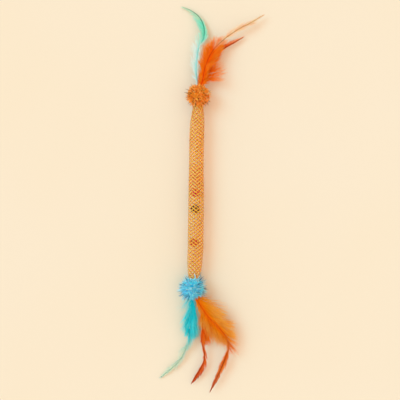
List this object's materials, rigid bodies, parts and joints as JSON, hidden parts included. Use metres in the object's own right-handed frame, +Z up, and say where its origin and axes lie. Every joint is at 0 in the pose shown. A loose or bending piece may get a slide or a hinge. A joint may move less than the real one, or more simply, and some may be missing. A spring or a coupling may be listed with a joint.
{
  "type": "cat teaser wand",
  "caption": "Soft see-through mesh tube with loose bells inside, a tinsel pompom at each end and dyed feathers standing out of each pompom.",
  "frame": {"origin": "middle of the mesh tube, on its axis, where a hand holds it", "axes": "+Y along the tube towards the orange pompom, +X to the right as seen from above, +Z up from the surface that the toy lies on"},
  "size_m": [0.1205, 0.5013, 0.0338],
  "materials": {
    "golden_mesh": "braided nylon monofilament, golden orange, see-through",
    "tie_thread": "whipped polyester thread",
    "hot_glue": "translucent hot-melt glue",
    "orange_tinsel": "metallised film strips, orange",
    "blue_tinsel": "iridescent film strips, blue",
    "teal_feather": "dyed feather, teal with a pale green tip",
    "orange_feather": "dyed feather, orange",
    "rust_feather": "dyed feather, orange with a rust tip",
    "pink_bell": "lacquered thin sheet metal, pink red",
    "dark_bell": "lacquered thin sheet metal, dark green",
    "red_bell": "lacquered thin sheet metal, red",
    "bell_wire": "bright wire",
    "pellet_steel": "steel ball"
  },
  "bodies": {
    "wand": {"mesh_tube": "golden_mesh", "neck_tie_top": "tie_thread", "neck_tie_bottom": "tie_thread", "glue_plug_top": "hot_glue", "glue_plug_bottom": "hot_glue", "pompom_orange": "orange_tinsel", "pompom_blue": "blue_tinsel", "feather_top_teal": "teal_feather", "feather_top_orange_long": "orange_feather", "feather_top_orange_short": "orange_feather", "feather_bottom_teal": "teal_feather", "feather_bottom_orange_middle": "rust_feather", "feather_bottom_orange_right": "rust_feather"},
    "bell_1": {"bell_1_cap": "pink_bell", "bell_1_cup": "pink_bell", "bell_1_loop": "bell_wire"},
    "pellet_1": {"bell_1_pellet": "pellet_steel"},
    "bell_2": {"bell_2_cap": "dark_bell", "bell_2_cup": "dark_bell", "bell_2_loop": "bell_wire"},
    "pellet_2": {"bell_2_pellet": "pellet_steel"},
    "bell_3": {"bell_3_cap": "red_bell", "bell_3_cup": "red_bell", "bell_3_loop": "bell_wire"},
    "pellet_3": {"bell_3_pellet": "pellet_steel"}
  },
  "joints": [
    {"name": "bell_1_slide", "type": "slide", "parent": "wand", "child": "bell_1", "axis": [0, 1, 0], "range_m": [-0.009, 0.085]},
    {"name": "bell_2_slide", "type": "slide", "parent": "wand", "child": "bell_2", "axis": [0, 1, 0], "range_m": [-0.0285, 0.009]},
    {"name": "bell_3_slide", "type": "slide", "parent": "wand", "child": "bell_3", "axis": [0, 1, 0], "range_m": [-0.02, 0.0285]},
    {"name": "pellet_1_bounce", "type": "slide", "parent": "bell_1", "child": "pellet_1", "axis": [0, 0, 1], "range_m": [0, 0.0065]},
    {"name": "pellet_2_bounce", "type": "slide", "parent": "bell_2", "child": "pellet_2", "axis": [0, 0, 1], "range_m": [0, 0.0065]},
    {"name": "pellet_3_bounce", "type": "slide", "parent": "bell_3", "child": "pellet_3", "axis": [0, 0, 1], "range_m": [0, 0.0065]}
  ]
}
